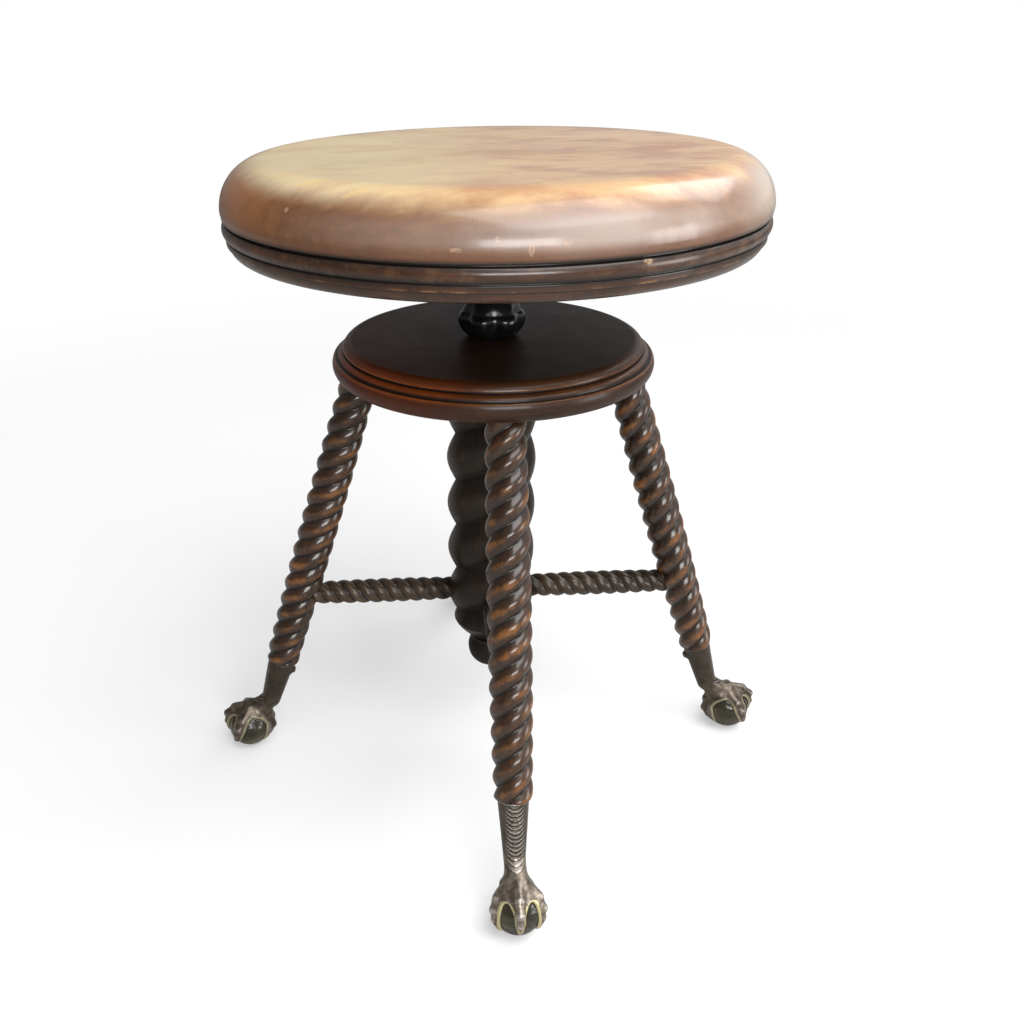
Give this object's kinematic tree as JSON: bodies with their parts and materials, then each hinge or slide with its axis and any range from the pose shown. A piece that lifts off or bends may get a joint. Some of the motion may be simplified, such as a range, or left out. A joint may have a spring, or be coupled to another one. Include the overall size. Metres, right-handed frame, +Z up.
{
  "type": "revolving piano stool",
  "caption": "Round turned wooden seat on a screwed steel spindle that raises it as it turns, over a round base with rope-twist legs, stretchers and post, on claw feet gripping glass balls.",
  "frame": {"origin": "on the floor under the spindle's axis, in the middle between the four feet", "axes": "+Z up along the spindle; the front leg points along -Y and the right leg along +X"},
  "size_m": [0.4418, 0.4418, 0.468],
  "materials": {
    "seat_wood": "worn satin varnish",
    "disc_wood": "satin varnish",
    "leg_wood": "satin varnish, worn on the crests",
    "dark_wood": "satin varnish",
    "cast_iron": "black paint",
    "black_iron": "gloss black paint",
    "spindle_steel": "oiled",
    "screw_steel": "plain",
    "claw_metal": "dark bronze finish, worn to bright metal on the edges",
    "ball_glass": "clear, smooth"
  },
  "bodies": {
    "base": {"spindle_nut": "black_iron", "base_disc": "disc_wood", "centre_post": "dark_wood", "post_finial": "dark_wood", "leg_front": "leg_wood", "leg_right": "leg_wood", "leg_rear": "leg_wood", "leg_left": "leg_wood", "stretcher_front": "dark_wood", "stretcher_right": "dark_wood", "stretcher_rear": "dark_wood", "stretcher_left": "dark_wood", "claw_front": "claw_metal", "claw_right": "claw_metal", "claw_rear": "claw_metal", "claw_left": "claw_metal", "glass_ball_front": "ball_glass", "glass_ball_right": "ball_glass", "glass_ball_rear": "ball_glass", "glass_ball_left": "ball_glass", "foot_screws": "screw_steel"},
    "lift": {"stop_washer": "spindle_steel"},
    "seat": {"seat_top": "seat_wood", "seat_spider": "cast_iron", "spider_screws": "screw_steel", "spindle": "spindle_steel", "hub_pin": "spindle_steel", "stop_screw": "spindle_steel"}
  },
  "joints": [
    {"name": "seat_lift", "type": "slide", "parent": "base", "child": "lift", "axis": [0, 0, 1], "range_m": [0, 0.11007]},
    {"name": "seat_turn", "type": "hinge", "parent": "lift", "child": "seat", "pos_m": [0, 0, 0.4], "axis": [0, 0, 1], "range_deg": [0, 4680]}
  ],
  "couplings": [
    {"joint": "seat_lift", "follows": "seat_turn", "m_per_rad": 0.0013476}
  ]
}
